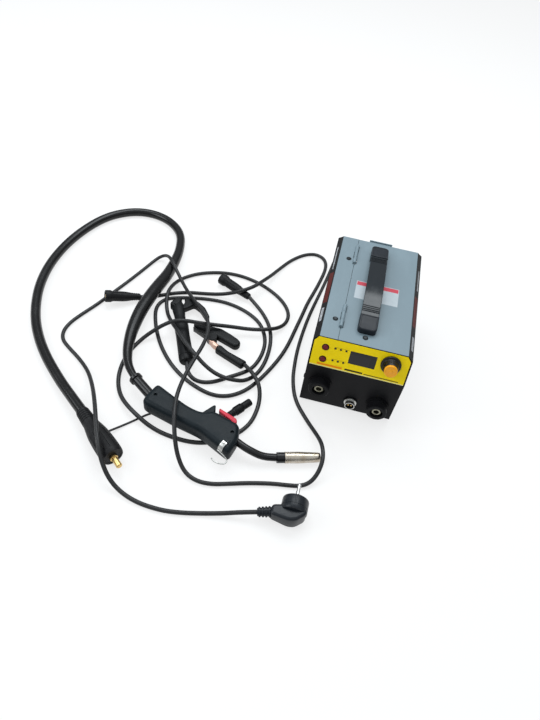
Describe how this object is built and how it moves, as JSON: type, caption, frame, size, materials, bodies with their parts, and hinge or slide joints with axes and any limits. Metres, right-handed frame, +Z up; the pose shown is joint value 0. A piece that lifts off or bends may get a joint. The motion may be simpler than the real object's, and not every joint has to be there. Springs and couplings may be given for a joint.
{
  "type": "mig welder",
  "caption": "Small wire-feed welding machine in a sheet-metal case with a leaning control face, laid out with its torch, earth clamp, electrode holder and leads.",
  "frame": {"origin": "on the floor under the middle of the machine's case, centred between its four feet", "axes": "+Z up, -Y out of the control face, +X to the right of someone facing it"},
  "size_m": [0.6837, 0.6679, 0.1655],
  "materials": {
    "case_paint_black": "satin powder coat",
    "case_paint_grey": "satin powder coat",
    "bezel_black": "fine grain",
    "panel_yellow": "satin print",
    "display_dark": "polished",
    "button_red": "polished",
    "light_clear": "polished",
    "knob_black": "satin",
    "knob_amber": "satin",
    "handle_black": "semi gloss",
    "board_green": "solder mask",
    "fan_black": "matt",
    "rubber_black": "matt",
    "lead_black": "satin",
    "steel": "brushed",
    "zinc": "zinc plated",
    "alloy": "extruded",
    "brass": "turned",
    "torch_plastic": "fine grain",
    "trigger_red": "satin",
    "nozzle_steel": "turned, heat tinted",
    "spool_plastic": "moulded"
  },
  "bodies": {
    "welder": {"base_tray": "case_paint_black", "divider_plate": "zinc", "side_panel_left": "case_paint_black", "side_panel_right": "case_paint_black", "top_strip": "case_paint_grey", "hinge_pins": "zinc", "front_bezel": "bezel_black", "front_overlay": "panel_yellow", "display_window": "display_dark", "control_board": "board_green", "indicator_lights": "light_clear", "socket_collars": "bezel_black", "socket_inserts": "brass", "control_socket": "zinc", "control_pins": "brass", "rear_panel": "case_paint_black", "fan_frame": "fan_black", "switch_body": "bezel_black", "mains_gland": "rubber_black", "heatsink": "alloy", "power_board": "board_green", "feeder_body": "spool_plastic", "feed_motor": "zinc", "case_screws": "zinc", "feet": "rubber_black", "mains_lead": "lead_black", "mains_plug": "rubber_black", "torch_hose": "lead_black", "torch_plug": "rubber_black", "trigger_lead": "lead_black", "trigger_plug": "rubber_black", "earth_lead": "lead_black", "earth_plug": "rubber_black", "electrode_lead": "lead_black", "electrode_plug": "rubber_black", "plug_pins": "brass", "mains_pins": "steel", "torch_shell_upper": "torch_plastic", "torch_shell_lower": "torch_plastic", "torch_neck": "torch_plastic", "torch_nozzle": "nozzle_steel", "torch_hook": "zinc", "torch_strain_relief": "torch_plastic", "clamp_fixed_arm": "torch_plastic", "holder_body": "torch_plastic"},
    "lid_assembly": {"lid": "case_paint_grey", "handle_strap": "handle_black", "handle_caps": "handle_black", "lid_screw": "zinc"},
    "upper_button": {"button_upper": "button_red"},
    "lower_button": {"button_lower": "button_red"},
    "dial": {"knob": "knob_black", "knob_cap": "knob_amber"},
    "fan_wheel": {"fan_rotor": "fan_black"},
    "power_key": {"power_rocker": "button_red"},
    "spool": {"wire_spool": "spool_plastic"},
    "drive_wheel": {"drive_roller": "steel"},
    "press_lever": {"pressure_arm": "spool_plastic"},
    "press_wheel": {"pressure_roller": "steel"},
    "trigger_blade": {"torch_trigger": "trigger_red"},
    "clamp_jaw": {"clamp_moving_arm": "torch_plastic"},
    "electrode_lever": {"holder_lever": "torch_plastic"}
  },
  "joints": [
    {"name": "lid_hinge", "type": "hinge", "parent": "welder", "child": "lid_assembly", "pos_m": [-0.039, 0, 0.1486], "axis": [0, -1, 0], "range_deg": [0, 105]},
    {"name": "upper_button_press", "type": "slide", "parent": "welder", "child": "upper_button", "axis": [0, 0.963, -0.2696], "range_m": [0, 0.0015], "stiffness_N_per_m": 300},
    {"name": "lower_button_press", "type": "slide", "parent": "welder", "child": "lower_button", "axis": [0, 0.963, -0.2696], "range_m": [0, 0.0015], "stiffness_N_per_m": 300},
    {"name": "dial_turn", "type": "hinge", "parent": "welder", "child": "dial", "pos_m": [0.0456, -0.13445, 0.12755], "axis": [0, -0.963, 0.2696], "continuous": true},
    {"name": "fan_spin", "type": "hinge", "parent": "welder", "child": "fan_wheel", "pos_m": [-0.04, 0.1215, 0.084], "axis": [0, 1, 0], "continuous": true},
    {"name": "power_key_tip", "type": "hinge", "parent": "welder", "child": "power_key", "pos_m": [0.04, 0.1324, 0.104], "axis": [1, 0, 0], "range_deg": [0, 18]},
    {"name": "spool_spin", "type": "hinge", "parent": "welder", "child": "spool", "pos_m": [0.02, 0.062, 0.07], "axis": [1, 0, 0], "continuous": true},
    {"name": "drive_wheel_spin", "type": "hinge", "parent": "welder", "child": "drive_wheel", "pos_m": [0.048, -0.062, 0.024], "axis": [1, 0, 0], "continuous": true},
    {"name": "press_lever_lift", "type": "hinge", "parent": "welder", "child": "press_lever", "pos_m": [0.056, -0.036, 0.047], "axis": [-1, 0, 0], "range_deg": [0, 55]},
    {"name": "press_wheel_spin", "type": "hinge", "parent": "press_lever", "child": "press_wheel", "pos_m": [0.048, -0.062, 0.0468], "axis": [1, 0, 0], "continuous": true},
    {"name": "trigger_pull", "type": "hinge", "parent": "welder", "child": "trigger_blade", "pos_m": [-0.163, -0.239, 0.0223], "axis": [0, 0, 1], "range_deg": [0, 7], "stiffness_Nm_per_rad": 0.3},
    {"name": "clamp_open", "type": "hinge", "parent": "welder", "child": "clamp_jaw", "pos_m": [-0.2485, -0.06, 0.009], "axis": [0, 0, -1], "range_deg": [0, 12], "stiffness_Nm_per_rad": 1.5},
    {"name": "electrode_lever_press", "type": "hinge", "parent": "welder", "child": "electrode_lever", "pos_m": [-0.317, -0.009, 0.011], "axis": [0, 0, -1], "range_deg": [0, 10], "stiffness_Nm_per_rad": 1}
  ]
}
